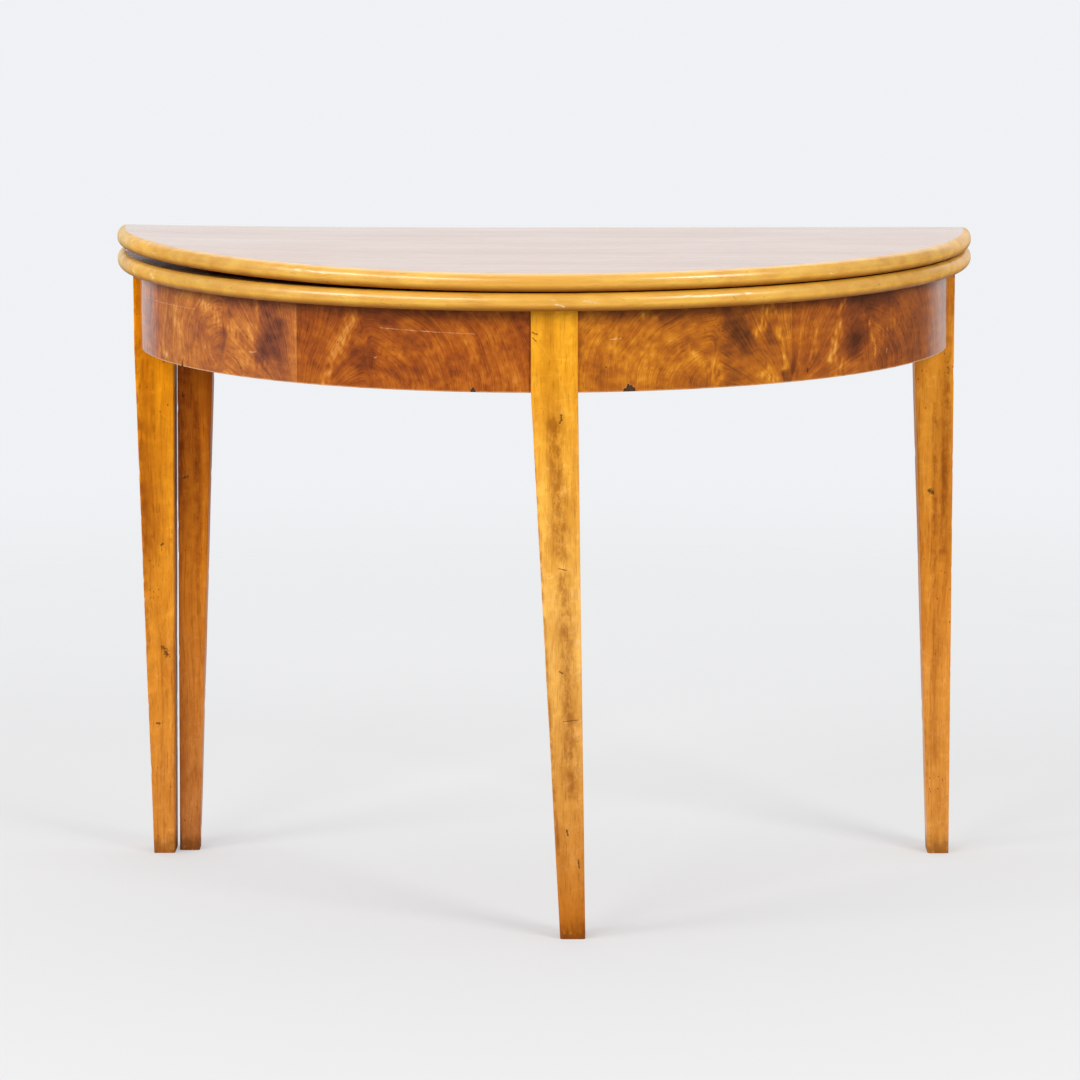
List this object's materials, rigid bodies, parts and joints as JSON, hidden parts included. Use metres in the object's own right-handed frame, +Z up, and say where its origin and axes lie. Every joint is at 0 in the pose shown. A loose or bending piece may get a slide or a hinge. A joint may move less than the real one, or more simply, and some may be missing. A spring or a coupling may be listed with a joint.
{
  "type": "demilune fold-over table",
  "caption": "Half-round fold-over table: a hinged leaf on a fixed leaf, a veneered curved frieze, tapered legs, and a gate leg that swings out behind to carry the open leaf.",
  "frame": {"origin": "on the floor under the middle of the closed table's bounding box", "axes": "+X to the sitter's right along the straight back edge, +Y from the round front to the back, +Z up"},
  "size_m": [1.04, 0.5238, 0.7763],
  "materials": {
    "leaf_wood": "french polished",
    "leg_wood": "french polished",
    "flame_veneer": "french polished",
    "pine_core": "bare, aged",
    "brass": "tarnished",
    "iron": "dark, aged"
  },
  "bodies": {
    "frame": {"lower_leaf": "leaf_wood", "front_leg": "leg_wood", "left_rear_leg": "leg_wood", "right_rear_leg": "leg_wood", "back_rail": "pine_core", "cross_bearer": "pine_core", "glue_blocks": "pine_core", "hinge_rail": "pine_core", "gate_pivot_pin": "iron", "bearer_screws": "iron", "hinge_rail_screws": "iron", "lower_hinge_screws": "iron", "left_apron_course_1": "pine_core", "left_apron_course_2": "pine_core", "left_apron_course_3": "pine_core", "left_apron_course_4": "pine_core", "right_apron_course_1": "pine_core", "right_apron_course_2": "pine_core", "right_apron_course_3": "pine_core", "right_apron_course_4": "pine_core", "left_veneer_1": "flame_veneer", "left_veneer_2": "flame_veneer", "left_veneer_3": "flame_veneer", "right_veneer_1": "flame_veneer", "right_veneer_2": "flame_veneer", "left_hinge_fixed_plate": "brass", "middle_hinge_fixed_plate": "brass", "right_hinge_fixed_plate": "brass", "left_hinge_pin": "brass", "middle_hinge_pin": "brass", "right_hinge_pin": "brass"},
    "folding_leaf": {"upper_leaf": "leaf_wood", "upper_hinge_screws": "iron", "left_hinge_moving_plate": "brass", "middle_hinge_moving_plate": "brass", "right_hinge_moving_plate": "brass"},
    "gate": {"gate_leg": "leg_wood", "gate_rail": "pine_core", "gate_tenon_pegs": "leg_wood"}
  },
  "joints": [
    {"name": "leaf_hinge", "type": "hinge", "parent": "frame", "child": "folding_leaf", "pos_m": [0, 0.25835, 0.74875], "axis": [-1, 0, 0], "range_deg": [0, 180]},
    {"name": "gate_swing", "type": "hinge", "parent": "frame", "child": "gate", "pos_m": [-0.02, 0.23205, 0.6849], "axis": [0, 0, -1], "range_deg": [0, 90]}
  ]
}
